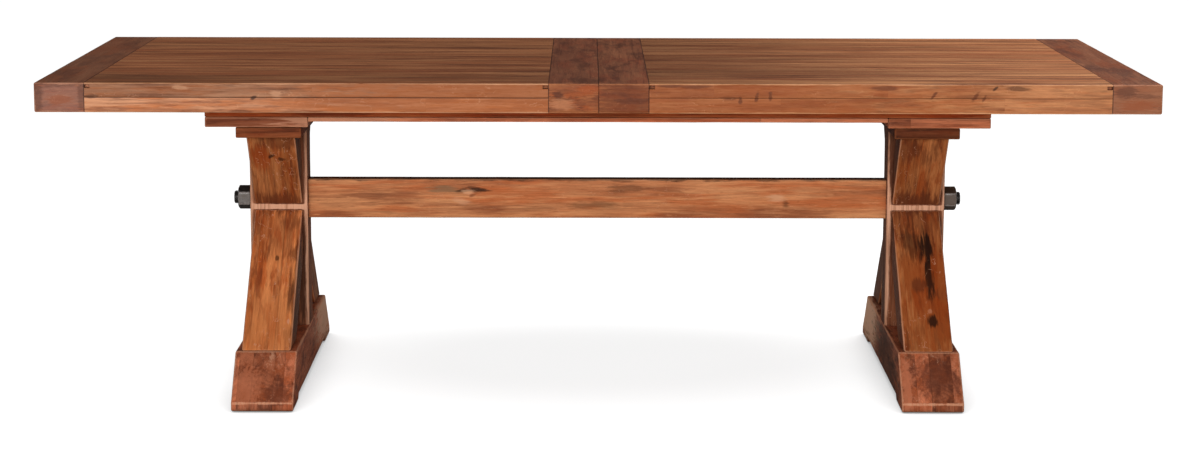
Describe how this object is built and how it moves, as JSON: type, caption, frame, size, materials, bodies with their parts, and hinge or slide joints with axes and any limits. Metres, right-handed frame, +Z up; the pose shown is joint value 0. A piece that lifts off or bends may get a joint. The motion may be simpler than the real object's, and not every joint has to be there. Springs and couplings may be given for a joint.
{
  "type": "trestle dining table",
  "caption": "Rustic wooden trestle dining table with a split plank top that slides open for a leaf, braced posts on long feet and a bolted stretcher.",
  "frame": {"origin": "on the floor, under the middle of the closed top", "axes": "+X along the table from the left end to the right end, +Y from the front edge to the rear, +Z up"},
  "size_m": [2.48, 1.06, 0.76],
  "materials": {
    "top_planks": "satin lacquer, worn edges",
    "cross_boards": "satin lacquer, worn edges",
    "base_timber": "satin lacquer, dark knots",
    "slide_timber": "matt, planed",
    "black_iron": "black, satin",
    "plated_steel": "zinc plated",
    "nylon": "moulded, matt"
  },
  "bodies": {
    "base": {"left_foot": "base_timber", "left_post": "base_timber", "left_front_lower_brace": "base_timber", "left_rear_lower_brace": "base_timber", "left_front_upper_brace": "base_timber", "left_rear_upper_brace": "base_timber", "left_cap": "slide_timber", "left_top_plate": "slide_timber", "right_foot": "base_timber", "right_post": "base_timber", "right_front_lower_brace": "base_timber", "right_rear_lower_brace": "base_timber", "right_front_upper_brace": "base_timber", "right_rear_upper_brace": "base_timber", "right_cap": "slide_timber", "right_top_plate": "slide_timber", "front_rail": "slide_timber", "front_ledger": "slide_timber", "rear_rail": "slide_timber", "rear_ledger": "slide_timber", "stretcher": "base_timber", "draw_bolts": "black_iron", "hex_nuts": "black_iron", "barrel_nuts": "plated_steel", "brace_dowels": "slide_timber", "floor_glides": "nylon"},
    "left_half": {"left_end_board": "cross_boards", "left_seam_board": "cross_boards", "left_plank_1": "top_planks", "left_plank_2": "top_planks", "left_plank_3": "top_planks", "left_plank_4": "top_planks", "left_plank_5": "top_planks", "left_plank_6": "top_planks", "left_plank_7": "top_planks", "left_front_edge_strip": "top_planks", "left_rear_edge_strip": "top_planks", "left_battens": "slide_timber", "left_front_runner": "slide_timber", "left_rear_runner": "slide_timber", "seam_pins": "plated_steel", "lock_pivots": "plated_steel"},
    "right_half": {"right_end_board": "cross_boards", "right_seam_board": "cross_boards", "right_plank_1": "top_planks", "right_plank_2": "top_planks", "right_plank_3": "top_planks", "right_plank_4": "top_planks", "right_plank_5": "top_planks", "right_plank_6": "top_planks", "right_plank_7": "top_planks", "right_front_edge_strip": "top_planks", "right_rear_edge_strip": "top_planks", "right_battens": "slide_timber", "right_front_runner": "slide_timber", "right_rear_runner": "slide_timber", "lock_strikes": "plated_steel"},
    "front_lock": {"front_lock_lever": "plated_steel"},
    "rear_lock": {"rear_lock_lever": "plated_steel"}
  },
  "joints": [
    {"name": "left_slide", "type": "slide", "parent": "base", "child": "left_half", "axis": [-1, 0, 0], "range_m": [0, 0.23]},
    {"name": "right_slide", "type": "slide", "parent": "base", "child": "right_half", "axis": [1, 0, 0], "range_m": [0, 0.23]},
    {"name": "front_lock_swing", "type": "hinge", "parent": "left_half", "child": "front_lock", "pos_m": [-0.045, -0.13, 0.6885], "axis": [0, 0, -1], "range_deg": [0, 90]},
    {"name": "rear_lock_swing", "type": "hinge", "parent": "left_half", "child": "rear_lock", "pos_m": [-0.045, 0.13, 0.6885], "axis": [0, 0, 1], "range_deg": [0, 90]}
  ]
}
